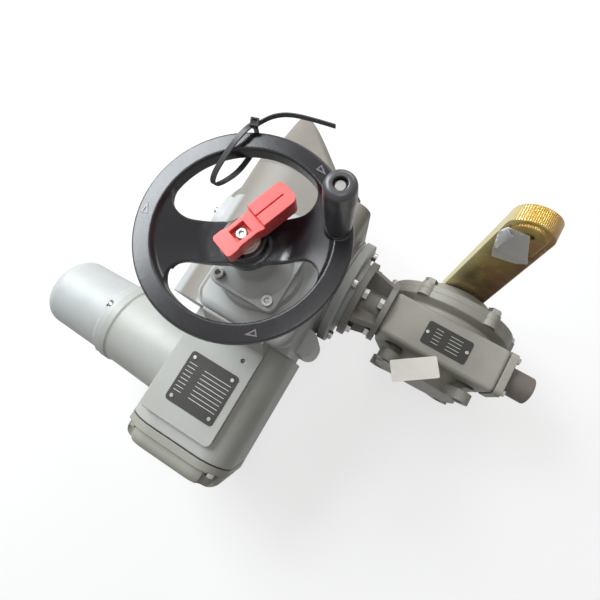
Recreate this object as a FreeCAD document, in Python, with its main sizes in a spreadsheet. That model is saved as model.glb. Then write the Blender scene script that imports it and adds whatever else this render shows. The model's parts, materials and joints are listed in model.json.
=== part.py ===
import FreeCAD, Part
import math
import os
import re
from FreeCAD import Placement, Rotation, Vector

# An electric multi-turn actuator, bolted through an open yoke to a quarter-turn worm gearbox
# that swings a lever. Millimetres. The lever shaft is the line X = 0, Z = 0, and the gearbox's
# mounting face is the plane Y = 0. The drive line between actuator and gearbox runs along X,
# above the lever shaft. The handwheel's line runs along Z and its rim faces +Z.

doc = FreeCAD.newDocument("actuator")
sheet = doc.addObject("Spreadsheet::Sheet", "sizes")

sizes = {
    # main lines
    "axis_x": -190,             # handwheel line, from the lever shaft
    "axis_y": 0,                # handwheel line, from the mounting face
    "drive_y": 46,              # drive line, from the mounting face
    "gear_centre": 55,          # drive line above the lever shaft
    "worm_centre": 50,          # actuator's worm line above the drive line
    "running_gap": 0.05,        # radial clearance of a running fit
    "seat_gap": 0.3,            # clearance between pieces that only lie close
    "wall": 9,
    # handwheel
    "hub_clear": 5,             # hub above the neck of the manual drive
    "hub_length": 20,
    "hub_drop": 15,             # hub's front face below the rim's
    "hub_radius": 16,
    "rim_radius": 81,
    "rim_width": 14.5,
    "rim_depth": 20,
    "web_depth": 5,
    "web_drop": 4,              # web's front face below the rim's at the rim
    "spoke_half": 16.5,         # half width of a spoke
    "spoke_angle": 30,
    "window_rim": 0.5,          # windows end this far inside the rim
    "window_hub": 4.5,          # and this far outside the hub
    "window_corner": 15,
    "window_heel": 8,
    "shaft_radius": 10,
    "shaft_stand": 3,           # shaft end above the hub
    "shaft_room": 6,            # round the shaft in the gear housing
    "ring_radius": 12.5,
    "ring_height": 2.2,
    "spindle_radius": 5,
    # crank handle
    "handle_angle": 32.1,
    "handle_circle": 70,
    "handle_stand": 2,          # grip's lower end above the rim
    "handle_length": 60,
    "handle_radius": 10.8,
    "handle_foot": 9,
    "handle_pin": 2.4,
    "handle_head": 3.3,
    "handle_recess": 4.4,
    "recess_depth": 5,
    # change-over lever
    "tab_angle": 70,
    "tab_width": 17.5,
    "tab_front": 46,
    "tab_back": 19,
    "tab_height": 17,
    "tab_slot": 13,
    "tab_floor": 6,             # floor of the square window above the lever's underside
    "tab_screw": 4.5,
    "tab_stem": 2.5,
    # manual drive flange
    "neck_radius": 32,
    "neck_top": 17,
    "neck_height": 43,
    "lug_half": 25.3,           # half distance of the flange screws
    "lug_radius": 8.5,
    "lug_height": 8,
    "cap_radius": 5,
    "cap_height": 6,
    "cap_socket": 2.5,
    # gear housing
    "barrel_radius": 61.5,
    "barrel_back": 92,
    "barrel_front": 60,
    "case_left": 91,
    "case_right": 58,
    "case_low": 28,
    "case_far": 108,
    "case_top": 154,
    "case_round": 62,
    "case_edge": 15,
    "case_back": 65,
    "case_height": 168,
    "case_corner": 16,
    "boss_radius": 38,
    "boss_rise": 9,
    "boss_flare": 5,
    "boss_sink": 12,
    "belly_reach": 16,          # bulge beside the barrel, beyond the case
    "belly_near": 48,
    "belly_low": 35,
    "belly_height": 80,
    "belly_clear": 2,           # between the bulge and the output flange
    "belly_corner": 13,
    "cap_inset": 9,             # rear cap's edge inside the barrel's
    "screw_head": 3.6,          # screws of the rear cap and the plug cover
    "screw_height": 3.5,
    # output flange and yoke
    "flange_radius": 62.5,
    "flange_thick": 14,
    "spigot_radius": 41,
    "spigot_length": 6,
    "plate_radius": 46,
    "plate_thick": 8,
    "yoke_length": 40,
    "yoke_end": 36,
    "yoke_foot": 7,             # thickness of the yoke's end at the gearbox
    "yoke_tube": 21,
    "yoke_rib": 7,
    "bolt_circle": 35,
    "nut_circle": 28,
    "bolt_head": 6.5,
    "bolt_depth": 5.5,
    # drive train
    "sleeve_radius": 22,
    "sleeve_inset": 12,
    "wheel_radius": 39,
    "wheel_width": 26,
    "wheel_teeth": 40,
    "tooth_depth": 3.2,
    "worm_radius": 10.5,
    "worm_root": 7.5,
    "worm_length": 46,
    "worm_bore": 17.5,          # seats of the worm's bearings
    "journal_radius": 7,
    "journal_inset": 2,         # shaft ends inside the housing's faces
    "bearing_width": 10,
    "bearing_wall": 6,
    "bevel_radius": 15,
    "bevel_rim": 3,
    # control housing
    "box_left": 58,
    "box_right": 62,
    "box_near": 56,
    "box_length": 124,
    "box_low": -4,
    "box_high": 125,
    "box_corner": 34,
    "box_wall": 7,
    "box_floor": 15,
    "pad_height": 5,
    "pad_left": 45,
    "pad_right": 37,
    "pad_margin": 12,           # pad's end before the end of the box
    "pad_sink": 20,
    "ramp_run": 12,
    "sight_radius": 2.2,        # small blind hole in the pad
    "sight_right": 21.7,
    "sight_front": 25.5,
    "lid_plate": 8,
    "lid_step": 3,
    "lid_depth": 24,
    "lid_round": 10,
    "lid_room": 20,             # hollow of the cover, from its edge
    "lid_skin": 7,
    "lid_inset": 14,
    "lid_pocket": 8.7,
    "lid_head": 4.6,
    "gasket": 1.5,
    "unit_margin": 14,
    "unit_plate": 6,
    "cam_radius": 22,
    "cam_width": 6,
    "cam_pitch": 12,
    "cam_post": 6,
    # nameplates
    "plate_sheet": 0.8,
    "plate_left": 26.5,
    "plate_right": 28.5,
    "plate_near": 97,
    "plate_far": 150,
    "small_half": 25.7,
    "small_near": 14.5,
    "small_far": 11.8,
    "rivet_radius": 1.9,
    "rivet_inset": 5.5,
    # electrical connection
    "plug_y": -115,
    "plug_z": 66,
    "socket_root": 49,
    "socket_radius": 44.5,
    "socket_bore": 36.5,
    "socket_lip": 1.5,
    "socket_end": 135,
    "socket_sink": 30,
    "plug_radius": 42.5,
    "plug_tip": 40,
    "plug_length": 86,
    "plug_dome": 16,
    "plug_wall": 9,
    "entry_radius": 9,
    "plug_turn": 75,
    # motor housing
    "motor_seat": 8,
    "motor_length": 74,
    "motor_right": 28,
    "motor_low": 50,
    "motor_high": 45,
    "motor_corner": 16,
    "motor_ledge": 14,          # base flange outside the hood
    "motor_screw": 5,
    # quarter-turn gearbox
    "gear_left": 70,
    "gear_right": 64,
    "gear_top": 25,
    "gear_near": 20,
    "gear_far": 70,
    "drum_radius": 68,
    "cover_radius": 78,
    "cover_thick": 8,
    "cover_seat": 92,
    "cover_circle": 75,
    "cover_lug": 8.5,
    "cover_bolt": 7.5,
    "cover_turn": 4.8,
    "cover_boss": 42,
    "cover_rise": 19.5,
    "foot_radius": 52,
    "foot_thick": 12,
    "foot_circle": 62.5,
    "foot_lug": 12,
    "foot_floor": 6,
    "foot_hole": 6.5,
    "foot_spot": 11,
    "gear_wheel": 44,
    "gear_width": 26,
    "gear_teeth": 40,
    "gear_worm": 10.7,
    "gear_root": 7.7,
    "gear_neck": 11.7,          # its stub in the drive sleeve
    "neck_seat": 10,            # and how far the stub goes in
    "thread_half": 28,
    "gear_bore": 14.2,          # seats of the gearbox worm's bearings
    "gear_shaft": 20,
    "stop_radius": 15.5,
    "stop_length": 30,
    "end_plate": 8,
    "end_half": 25,
    "end_screw": 19,
    # lever
    "lever_length": 215,
    "lever_thick": 15,
    "lever_root": 26,
    "lever_tip": 19.5,
    "lever_hole": 4.5,
    "lever_lean": 1.5,
    "lever_boss": 14.5,
    "boss_length": 25,
    "boss_thick": 2,
    # cable tie round the rim
    "tie_width": 4.8,
    "tie_thick": 1.3,
    "tie_x": -37,               # middle of the loop, from the handwheel line
    "tie_near": 33,
    "tie_far": 75.3,
    "tie_under": 24,            # loop's lower side below the rim's front face
    "tie_head": 5.5,
}

for row, (alias, amount) in enumerate(sizes.items(), start=1):
    sheet.set("A%d" % row, alias)
    sheet.set("B%d" % row, str(amount))
    sheet.setAlias("B%d" % row, alias)
doc.recompute()

turns = {
    "Z": Rotation(),
    "X": Rotation(Vector(0, 1, 0), 90),
    "-X": Rotation(Vector(0, 1, 0), -90),
    "Y": Rotation(Vector(1, 0, 0), -90),
    "-Y": Rotation(Vector(1, 0, 0), 90),
    "-Z": Rotation(Vector(1, 0, 0), 180),
    "ramp": Rotation(Vector(0, -1, 0), Vector(0, 0, 1), Vector(-1, 0, 0), "XYZ"),
}
nodes = {}

# heights along the handwheel line, each piece resting on the one below
worm_line = "gear_centre + worm_centre"
bevel_top = worm_line + " + bevel_radius + bevel_rim"
flange_seat = "case_height + boss_rise"
flange_top = flange_seat + " + lug_height"
hub_base = flange_seat + " + neck_height + hub_clear"
hub_face = hub_base + " + hub_length"
rim_face = hub_face + " + hub_drop"
cover_top = "cover_seat + cover_thick + cover_rise"


def size(alias):
    return float(sheet.get(alias))


def bind(thing, field, formula):
    def cell(word):
        return "sizes." + word.group() if word.group() in sizes else word.group()
    thing.setExpression(field, re.sub(r"[a-z_]+", cell, str(formula)))


def place(thing, x, y, z, direction="Z", turn=0):
    spin = Rotation(Vector(0, 0, 1), turn)
    thing.Placement = Placement(Vector(), turns[direction].multiply(spin))
    bind(thing, "Placement.Base.x", x)
    bind(thing, "Placement.Base.y", y)
    bind(thing, "Placement.Base.z", z)
    return thing


def cylinder(radius, length, x, y, z, direction="Z"):
    solid = doc.addObject("Part::Cylinder", "cylinder")
    bind(solid, "Radius", radius)
    bind(solid, "Height", length)
    return place(solid, x, y, z, direction)


def cone(radius, end_radius, length, x, y, z, direction="Z"):
    solid = doc.addObject("Part::Cone", "cone")
    bind(solid, "Radius1", radius)
    bind(solid, "Radius2", end_radius)
    bind(solid, "Height", length)
    return place(solid, x, y, z, direction)


def block(width, depth, height, x, y, z, direction="Z", turn=0):
    solid = doc.addObject("Part::Box", "block")
    bind(solid, "Length", width)
    bind(solid, "Width", depth)
    bind(solid, "Height", height)
    return place(solid, x, y, z, direction, turn)


def fuse(*solids):
    joined = doc.addObject("Part::MultiFuse", "fuse")
    joined.Shapes = list(solids)
    joined.Refine = True
    return joined


def cut(solid, *tools):
    tool = tools[0] if len(tools) == 1 else fuse(*tools)
    opened = doc.addObject("Part::Cut", "cut")
    opened.Base = solid
    opened.Tool = tool
    opened.Refine = True
    return opened


def group(*solids):
    gathered = doc.addObject("Part::Compound", "group")
    gathered.Links = list(solids)
    return gathered


def plane_of(body, role):
    for feature in body.Origin.OriginFeatures:
        if feature.Role == role:
            return feature


def draw(sketch, corners):
    # Closed outline of (x, y) or (x, y, radius) corners, each radius a tangent arc.
    stops = []
    for index, corner in enumerate(corners):
        here = Vector(corner[0], corner[1], 0)
        radius = corner[2] if len(corner) > 2 else 0
        if not radius:
            stops.append((here, None, here))
            continue
        last = corners[index - 1]
        following = corners[(index + 1) % len(corners)]
        back = (Vector(last[0], last[1], 0) - here).normalize()
        ahead = (Vector(following[0], following[1], 0) - here).normalize()
        half = back.getAngle(ahead) / 2
        reach = radius / math.tan(half)
        middle = here + (back + ahead).normalize() * (radius / math.sin(half) - radius)
        stops.append((here + back * reach, middle, here + ahead * reach))
    for index, (start, middle, end) in enumerate(stops):
        if middle is not None:
            sketch.addGeometry(Part.Arc(start, middle, end), False)
        onward = stops[(index + 1) % len(stops)][0]
        if end.distanceToPoint(onward) > 0.001:
            sketch.addGeometry(Part.LineSegment(end, onward), False)


def new_sketch(body, role, name):
    sketch = body.newObject("Sketcher::SketchObject", name)
    sketch.AttachmentSupport = [(plane_of(body, role), "")]
    sketch.MapMode = "FlatFace"
    return sketch


def turned(profile, x, y, z, direction="Z"):
    # Solid of revolution about its own Z: the profile's corners are (radius, height).
    body = doc.addObject("PartDesign::Body", "turned")
    sketch = new_sketch(body, "XZ_Plane", "profile")
    draw(sketch, profile)
    spun = body.newObject("PartDesign::Revolution", "revolution")
    spun.Profile = sketch
    spun.ReferenceAxis = (sketch, ["V_Axis"])
    spun.Angle = 360
    return place(body, x, y, z, direction)


def prism(corners, length, x, y, z, direction="Z", turn=0):
    # Flat outline padded along its own Z.
    body = doc.addObject("PartDesign::Body", "prism")
    sketch = new_sketch(body, "XY_Plane", "outline")
    draw(sketch, corners)
    pad = body.newObject("PartDesign::Pad", "pad")
    pad.Profile = sketch
    bind(pad, "Length", length)
    return place(body, x, y, z, direction, turn)


def rounded_rectangle(left, right, low, high, corner):
    return [(left, low, corner), (right, low, corner), (right, high, corner), (left, high, corner)]


def soften(solid, radius, chosen):
    # Fillet on the edges of a recomputed solid that the test picks by their middle and direction.
    doc.recompute()
    picked = []
    for index, edge in enumerate(solid.Shape.Edges, start=1):
        middle = edge.valueAt((edge.FirstParameter + edge.LastParameter) / 2)
        if chosen(edge, middle):
            picked.append((index, radius, radius))
    rounded = doc.addObject("Part::Fillet", "fillet")
    rounded.Base = solid
    rounded.Edges = picked
    return rounded


def keep(node, solid):
    solid.Label = node
    nodes[node] = solid
    return solid


def around(count, radius, angle=0):
    for step in range(count):
        turn = math.radians(angle + 360 * step / count)
        yield radius * math.cos(turn), radius * math.sin(turn)


def hexagon(radius, length, x, y, z, direction="X"):
    solid = doc.addObject("Part::Prism", "hexagon")
    bind(solid, "Circumradius", radius)
    bind(solid, "Height", length)
    solid.Polygon = 6
    return place(solid, x, y, z, direction)


def gear_housing():
    low = "axis_x - barrel_back"
    left = -size("case_left")
    right = size("case_right")
    edge = size("case_edge")
    barrel = cylinder("barrel_radius", "barrel_back + barrel_front", low, "drive_y", "gear_centre", "X")
    outline = [(left, size("case_low"), edge), (right, size("case_low"), edge),
               (right, size("case_top"), edge), (left, size("case_top"), size("case_round"))]
    case = prism(outline, "box_near + case_far", "axis_x", "axis_y + case_far", 0, "-Y")
    section = rounded_rectangle(-size("pad_left"), right, -size("box_near"), size("case_back"),
                                size("case_corner"))
    crown = size("case_height")
    pedestal = soften(prism(section, "case_height - gear_centre", "axis_x", "axis_y", "gear_centre"),
                      size("wall"), lambda edge, middle: middle.z > crown - 0.1)
    boss = cone("boss_radius + boss_flare", "boss_radius", "boss_rise + boss_sink", "axis_x", "axis_y",
                "case_height - boss_sink")
    belly_far = size("drive_y") - size("flange_radius") - size("belly_clear")
    belly_section = rounded_rectangle(0, right + size("belly_reach"), -size("belly_near"), belly_far,
                                      size("belly_corner"))
    belly = prism(belly_section, "belly_height", "axis_x", "axis_y", "gear_centre - belly_low")
    shell = fuse(barrel, case, pedestal, boss, belly)
    chamber = cylinder("wheel_radius + wall", "wheel_width + 2 * wall", "axis_x - wheel_width / 2 - wall",
                       "drive_y", "gear_centre", "X")
    through = cylinder("sleeve_radius + bearing_wall", "barrel_back + barrel_front + 2", low + " - 1",
                       "drive_y", "gear_centre", "X")
    tunnel = cylinder("worm_bore", "box_near + case_far + 2", "axis_x", "axis_y - box_near - 1", worm_line,
                      "Y")
    shaft_way = cylinder("shaft_radius + shaft_room", flange_seat + " - gear_centre - worm_centre + 1",
                         "axis_x", "axis_y", worm_line)
    return keep("gear_housing", cut(shell, chamber, through, tunnel, shaft_way))


def gear_outline(teeth, tip, depth):
    corners = []
    for tooth in range(teeth):
        for share, radius in ((-0.30, tip - depth), (-0.16, tip), (0.16, tip), (0.30, tip - depth)):
            turn = 2 * math.pi * (tooth + share) / teeth
            corners.append((radius * math.cos(turn), radius * math.sin(turn)))
    return corners


def thread_outline(root, tip, start, end, pitch):
    # Rings of a worm's thread along its own axis.
    corners = []
    for ring in range(int((end - start) / pitch)):
        foot = start + pitch * (ring + 0.5)
        corners += [(root, foot - pitch * 0.35), (tip, foot - pitch * 0.17), (tip, foot + pitch * 0.17),
                    (root, foot + pitch * 0.35)]
    return corners


def tube(node, outer_radius, bore_radius, length, x, y, z, direction="X"):
    outer = cylinder(outer_radius, length, x, y, z, direction)
    keep(node, cut(outer, cylinder(bore_radius, length, x, y, z, direction)))


def drive_train():
    tube("drive_sleeve", "sleeve_radius", "gear_neck", "barrel_back + barrel_front - sleeve_inset",
         "axis_x - barrel_back + sleeve_inset", "drive_y", "gear_centre")
    teeth = int(size("wheel_teeth"))
    rim = prism(gear_outline(teeth, size("wheel_radius"), size("tooth_depth")), "wheel_width",
                "axis_x - wheel_width / 2", "drive_y", "gear_centre", "X")
    hub = cylinder("sleeve_radius", "wheel_width + 2", "axis_x - wheel_width / 2 - 1", "drive_y",
                   "gear_centre", "X")
    keep("worm_wheel", cut(rim, hub))
    journal = size("journal_radius")
    root = size("worm_root")
    near = size("axis_y") - size("box_near") + size("journal_inset")
    far = size("axis_y") + size("case_far") - size("journal_inset")
    start = size("drive_y") - size("worm_length") / 2
    end = start + size("worm_length")
    profile = [(0, near), (journal, near), (journal, start - 4), (root, start)]
    pitch = 2 * math.pi * (size("wheel_radius") - size("tooth_depth") / 2) / teeth
    profile += thread_outline(root, size("worm_radius"), start, end, pitch)
    profile += [(root, end), (journal, end + 0.5), (journal, far), (0, far)]
    keep("worm_shaft", turned(profile, "axis_x", 0, worm_line, "Y"))
    for node, along in (("worm_bearing_near", "axis_y - box_near + journal_inset"),
                        ("worm_bearing_far", "axis_y + case_far - bearing_width - journal_inset")):
        tube(node, "worm_bore", "journal_radius + running_gap", "bearing_width", "axis_x", along,
             worm_line, "Y")
    for node, along in (("sleeve_bearing_back", "axis_x - barrel_back + sleeve_inset"),
                        ("sleeve_bearing_front", "axis_x + barrel_front - bearing_width - journal_inset")):
        tube(node, "sleeve_radius + bearing_wall", "sleeve_radius + running_gap", "bearing_width", along,
             "drive_y", "gear_centre")


def bevel_pair():
    # Two plain cones a seat gap apart: the clutch is open while the motor drives.
    reach = size("bevel_radius")
    rim = size("bevel_rim")
    gap = size("seat_gap")
    for node, bore, tip, direction in (("worm_bevel", size("journal_radius"), 0.55, "Y"),
                                       ("handwheel_bevel", 0, 0.6, "Z")):
        profile = [(bore, reach * tip), (reach * tip - gap, reach * tip), (reach - gap, reach),
                   (reach - rim, reach + rim), (bore, reach + rim)]
        keep(node, turned(profile, "axis_x", "axis_y", worm_line, direction))


def rear_cap():
    neck = size("sleeve_radius") + size("bearing_wall")
    outer = size("barrel_radius") - size("cap_inset")
    depth = size("cap_inset")
    profile = [(0, -depth), (neck, -depth), (neck, 0), (outer, 0), (outer, 8, 1.5), (outer - 11, 8, 1),
               (outer - 13, 12, 2), (22, 14, 2), (20, 10), (0, 10)]
    keep("rear_cap", turned(profile, "axis_x - barrel_back", "drive_y", "gear_centre", "-X"))
    screws = []
    for across, up in around(6, outer - 5.5, 30):
        screws.append(cylinder("screw_head", "screw_height", "axis_x - barrel_back - 8",
                               "drive_y + %.4f" % across, "gear_centre + %.4f" % up, "-X"))
    keep("rear_cap_screws", group(*screws))


def manual_drive():
    round_end = size("lug_radius")
    reach = size("lug_half") + round_end
    plate = prism(rounded_rectangle(-reach, reach, -reach, reach, round_end), "lug_height", "axis_x",
                  "axis_y", flange_seat)
    base = size("neck_radius")
    lug = size("lug_height")
    top = size("neck_height")
    slim = size("neck_top")
    profile = [(0, 0), (base, 0), (base, lug, 1.5), (slim + 1.5, lug + 9, 8), (slim, top, 1.5), (0, top)]
    neck = turned(profile, "axis_x", "axis_y", flange_seat)
    bore = cylinder("shaft_radius + running_gap", "neck_height + 2", "axis_x", "axis_y", flange_seat + " - 1")
    screws = []
    seats = []
    for side in (-1, 1):
        for end in (-1, 1):
            x = "axis_x + %d * lug_half" % side
            y = "axis_y + %d * lug_half" % end
            head = cylinder("cap_radius", "cap_height", x, y, flange_top)
            socket = cylinder("cap_socket", "cap_height", x, y, flange_top + " + cap_height * 0.4")
            screws.append(cut(head, socket))
            seats.append(cylinder("cap_radius + 1", "neck_height", x, y, flange_top))
    keep("manual_drive_flange", cut(fuse(plate, neck), bore, *seats))
    keep("flange_screws", group(*screws))


def handwheel():
    outer = size("rim_radius")
    inner = outer - size("rim_width")
    deep = size("rim_depth")
    web = size("web_drop")
    web_low = web + size("web_depth")
    hub = size("hub_radius")
    hub_top = size("hub_drop")
    hub_low = hub_top + size("hub_length")
    dish = hub_top + 5
    profile = [(0, -hub_low), (hub, -hub_low, 1), (hub + 1, -dish - 10, 8), (hub + 18, -dish - 6, 24),
               (inner - 6, -web_low, 8), (inner - 3, -deep, 2), (outer - 3, -deep, 4), (outer, -3, 3),
               (outer - 1, 0, 1.2), (inner + 0.5, 0, 1), (inner - 2, -web, 4), (hub + 18, -dish + 1, 24),
               (hub + 2, -dish, 4), (hub, -hub_top, 1), (0, -hub_top)]
    wheel = turned(profile, "axis_x", "axis_y", rim_face)
    bore = cylinder("shaft_radius", "hub_length + 2 * hub_clear", "axis_x", "axis_y",
                    hub_base + " - hub_clear")
    pad_x, pad_y = grip_line()
    pad = cylinder("handle_foot + 1", "rim_depth", pad_x, pad_y, rim_face + " - rim_depth + 1.5")
    pin_hole = cylinder("handle_pin", "rim_depth + 4", pad_x, pad_y, rim_face + " - rim_depth - 1")
    keep("handwheel", cut(fuse(cut(wheel, windows()), pad), bore, pin_hole))
    length = hub_face + " + shaft_stand - gear_centre - worm_centre - bevel_radius - bevel_rim"
    tube("handwheel_shaft", "shaft_radius", "spindle_radius + seat_gap", length, "axis_x", "axis_y",
         bevel_top, "Z")
    tube("shaft_ring", "ring_radius", "shaft_radius", "ring_height", "axis_x", "axis_y", hub_face, "Z")


def windows():
    # Two half-moons between the rim and the hub, one on each side of the spokes.
    low = rim_face + " - rim_depth - hub_length - 10"
    deep = "rim_depth + hub_length + 20"
    reach = size("rim_radius")
    half = size("spoke_half")
    rim = reach - size("rim_width") - size("window_rim")
    disc = cylinder("rim_radius - rim_width - window_rim", deep, "axis_x", "axis_y", low)
    core = cylinder("hub_radius + window_hub", deep, "axis_x", "axis_y", low)
    bar = prism([(-reach, -half), (reach, -half), (reach, half), (-reach, half)], deep, "axis_x", "axis_y",
                low, "Z", size("spoke_angle"))
    moons = cut(disc, core, bar)
    middle = Vector(size("axis_x"), size("axis_y"), 0)

    def upright(edge, point, least, most):
        away = Vector(point.x, point.y, 0).distanceToPoint(middle)
        straight = edge.Curve.TypeId == "Part::GeomLine"
        return straight and abs(edge.Curve.Direction.z) > 0.99 and least < away < most
    moons = soften(moons, size("window_corner"), lambda edge, point: upright(edge, point, rim - 5, reach))
    return soften(moons, size("window_heel"), lambda edge, point: upright(edge, point, 0, rim / 2))


def grip_line():
    turn = math.radians(size("handle_angle"))
    x = "axis_x + handle_circle * %.5f" % math.cos(turn)
    return x, "axis_y + handle_circle * %.5f" % math.sin(turn)


def crank_handle():
    pad_x, pad_y = grip_line()
    length = size("handle_length")
    big = size("handle_radius")
    foot = size("handle_foot")
    pin = size("handle_pin") + size("running_gap")
    recess = size("handle_recess")
    floor = length - size("recess_depth")
    profile = [(pin, 0), (foot, 0), (foot, 2), (foot + 0.5, 3), (big - 0.8, length * 0.35, 60),
               (big, length * 0.75, 40), (big - 0.8, length, 4), (recess, length, 0.8), (recess, floor),
               (pin, floor)]
    keep("handle_grip", turned(profile, pad_x, pad_y, rim_face + " + handle_stand"))
    base = rim_face + " - rim_depth + 1.5"
    floor_height = "handle_stand + handle_length - recess_depth + seat_gap"
    shank = cylinder("handle_pin", "rim_depth - 1.5 + " + floor_height, pad_x, pad_y, base)
    head = cylinder("handle_head", 2, pad_x, pad_y, rim_face + " + " + floor_height)
    keep("handle_pin", fuse(shank, head))


def changeover_lever():
    # Cranked red lever over the hub, with a square window for its screw.
    half = size("tab_width") / 2
    wide = half + 1.2
    front = size("tab_front")
    back = -size("tab_back")
    turn = size("tab_angle")
    side = [(back, -wide, 3), (-10, -wide, 8), (-6, -half, 8), (9, -half, 6), (14, -wide, 6),
            (front, -wide, 5)]
    outline = side + [(x, -y, round_corner) for x, y, round_corner in reversed(side)]
    low = hub_face + " + shaft_stand + seat_gap"
    bar = prism(outline, "tab_height", "axis_x", "axis_y", low, "Z", turn)
    slot = size("tab_slot") / 2
    window = prism(rounded_rectangle(-slot, slot, -slot + 1, slot - 1, 1), "tab_height", "axis_x", "axis_y",
                   low + " + tab_floor", "Z", turn)
    step = prism([(back - 5, -half - 5), (15, -half - 5), (15, half + 5), (back - 5, half + 5)], 10, "axis_x",
                 "axis_y", low + " + tab_height - 5", "Z", turn)
    groove = prism([(15, -1), (front - 6, -1), (front - 6, 0.2), (15, 0.2)], 5, "axis_x", "axis_y",
                   low + " + tab_height - 1.5", "Z", turn)
    bore = cylinder("tab_stem", "tab_height", "axis_x", "axis_y", low + " - 2")
    keep("changeover_lever", cut(bar, window, step, groove, bore))
    head = size("tab_screw")
    profile = [(0, 0), (head, 0), (head, 3, 0.8), (2, 3), (1.6, 1.5), (0, 1.5)]
    keep("lever_screw", turned(profile, "axis_x", "axis_y", low + " + tab_floor"))
    start = bevel_top + " + 3"
    length = hub_face + " + shaft_stand + seat_gap - gear_centre - worm_centre - bevel_radius - bevel_rim - 3"
    stem = cylinder("spindle_radius", length, "axis_x", "axis_y", start)
    neck = cylinder("tab_stem", "tab_floor + 1", "axis_x", "axis_y", low + " - 1")
    keep("lever_spindle", fuse(stem, neck))


def cable_tie():
    # Loose loop through a window and round the rim, its head outside and its tail curling away.
    thick = size("tie_thick")
    far = size("tie_far")
    near = size("tie_near")
    under = size("tie_under")
    x = "axis_x + tie_x - tie_width / 2"
    # The outline stands across the rim: its first value runs down from the rim's face, its second along Y.
    outer = prism([(-thick - 0.2, near, 6), (under, near, 6), (under, far, 6), (-thick - 0.2, far, 2.5)],
                  "tie_width", x, "axis_y", rim_face, "X")
    inner = prism([(-0.2, near + thick, 4.7), (under - thick, near + thick, 4.7),
                   (under - thick, far - thick, 4.7), (-0.2, far - thick, 1.2)], "tie_width + 2", x + " - 1",
                  "axis_y", rim_face, "X")
    head = block("tie_head", "tie_head", "tie_head", "axis_x + tie_x", "axis_y + tie_far - 0.4",
                 rim_face + " - 1")
    route = [(3, far + 4), (14, far + 15, 8), (28, far + 20, 12), (55, far + 30.5)]
    side = [(px, py + thick / 2, *bend) for px, py, *bend in route]
    back = [(px, py - thick / 2, *bend) for px, py, *bend in reversed(route)]
    tail = prism(side + back, "tie_width", "axis_x + tie_x", "axis_y", rim_face + " - 0.5")
    keep("cable_tie", fuse(cut(outer, inner), head, tail))


def box_section(inset=0):
    return rounded_rectangle(inset - size("box_left"), size("box_right") - inset, size("box_low") + inset,
                             size("box_high") - inset, size("box_corner") - inset)


def control_housing():
    near = "axis_y - box_near"
    body = prism(box_section(), "box_length", "axis_x", near, 0, "-Y")
    front = -size("box_near")
    far = front - size("box_length") + size("pad_margin")
    pad_shape = [(-size("pad_left"), front), (size("pad_right"), front), (size("pad_right"), far, 6),
                 (-size("pad_left"), far, 6)]
    pad = prism(pad_shape, "pad_height + pad_sink", "axis_x", "axis_y", "box_high - pad_sink")
    top = size("box_high") + size("pad_height")
    crown = size("case_height") - 3
    run = size("ramp_run")
    foot = top - size("pad_sink")
    ramp = prism([(0, foot), (0, crown), (3, crown, 2), (run, top, 6), (run + 8, top), (run + 8, foot)],
                 "pad_left - case_corner + pad_right", "axis_x + pad_right", near, 0, "ramp")
    radius = size("socket_radius")
    lip = radius + size("socket_lip")
    reach = size("socket_end") - size("box_left") + size("socket_sink")
    socket = turned([(0, 0), (size("socket_root"), 0), (size("socket_root"), 4, 4), (radius, reach - 10, 3),
                     (lip, reach - 8, 1), (lip, reach), (0, reach)], "axis_x - box_left + socket_sink",
                    "plug_y", "plug_z", "-X")
    hollow = prism(box_section(size("box_wall")), "box_length - box_floor + 1", "axis_x",
                   near + " - box_floor", 0, "-Y")
    way = cylinder("socket_bore", reach + 2, "axis_x - box_left + socket_sink", "plug_y", "plug_z", "-X")
    tunnel = cylinder("worm_bore", "box_floor + 5", "axis_x", near + " - box_floor - 3", worm_line, "Y")
    sight = cylinder("sight_radius", "pad_height * 2", "axis_x + sight_right", near + " - sight_front",
                     "box_high")
    return keep("control_housing", cut(fuse(body, pad, ramp, socket), hollow, way, tunnel, sight))


def control_lid():
    near = "axis_y - box_near - box_length"
    ring = cut(prism(box_section(1), "gasket", "axis_x", near, 0, "-Y"),
               prism(box_section(size("box_wall")), "gasket + 2", "axis_x", near + " + 1", 0, "-Y"))
    keep("lid_gasket", ring)
    seat = near + " - gasket"
    plate = prism(box_section(), "lid_plate", "axis_x", seat, 0, "-Y")
    dome = prism(box_section(size("lid_step")), "lid_depth", "axis_x", seat, 0, "-Y")
    end = size("axis_y") - size("box_near") - size("box_length") - size("gasket") - size("lid_depth")
    crowned = soften(fuse(plate, dome), size("lid_round"), lambda edge, middle: middle.y < end + 0.1)
    room = prism(box_section(size("lid_room")), "lid_depth - lid_skin + 1", "axis_x", seat + " + 1", 0, "-Y")
    pockets = []
    screws = []
    inset = size("lid_inset")
    for x in (inset - size("box_left"), size("box_right") - inset):
        for z in (inset + size("box_low"), size("box_high") - inset):
            across = "axis_x + %.4f" % x
            pockets.append(cylinder("lid_pocket", "lid_depth", across, seat + " - lid_plate + 1", z, "-Y"))
            head = cylinder("lid_head", "lid_head", across, seat + " - lid_plate + 1", z, "-Y")
            socket = cylinder("lid_head / 2", "lid_head", across, seat + " - lid_plate - 1", z, "-Y")
            screws.append(cut(head, socket))
    keep("control_lid", cut(crowned, room, *pockets))
    keep("lid_screws", group(*screws))


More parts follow.
